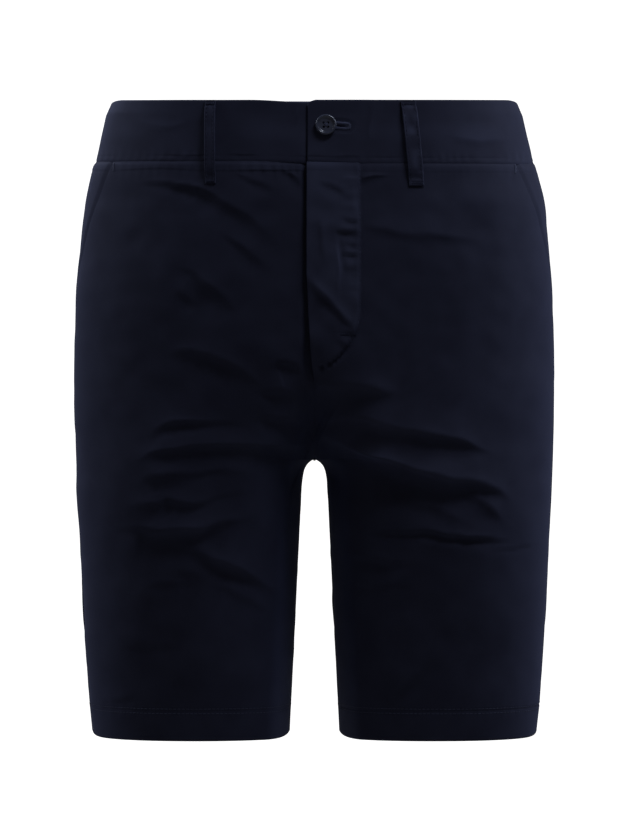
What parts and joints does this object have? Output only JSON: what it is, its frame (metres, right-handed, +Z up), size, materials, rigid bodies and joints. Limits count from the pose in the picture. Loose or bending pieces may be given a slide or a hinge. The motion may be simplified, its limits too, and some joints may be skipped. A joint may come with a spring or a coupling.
{
  "type": "bermuda shorts",
  "caption": "Knee-length flat-front twill shorts, filled out as worn, with a button-fastened waistband, lapped fly, belt loops and slant pockets.",
  "frame": {"origin": "Centre of the waist opening, halfway up the waistband at the side seams.", "axes": "+Z up, towards the waist. The front faces -Y and +X is the wearer's left."},
  "size_m": [0.3836, 0.2808, 0.5126],
  "materials": {
    "twill": "dark navy cotton twill, soft and matt",
    "button": "dark navy resin, polished"
  },
  "bodies": {
    "root": {"front_panel_left": "twill", "front_panel_right": "twill", "back_panel_left": "twill", "back_panel_right": "twill", "pocket_side_left": "twill", "pocket_side_right": "twill", "waistband_left": "twill", "waistband_right": "twill", "belt_loop_front_left": "twill", "belt_loop_front_right": "twill", "belt_loop_back_left": "twill", "belt_loop_back_right": "twill", "belt_loop_centre_back": "twill", "waist_button": "button"}
  },
  "joints": []
}
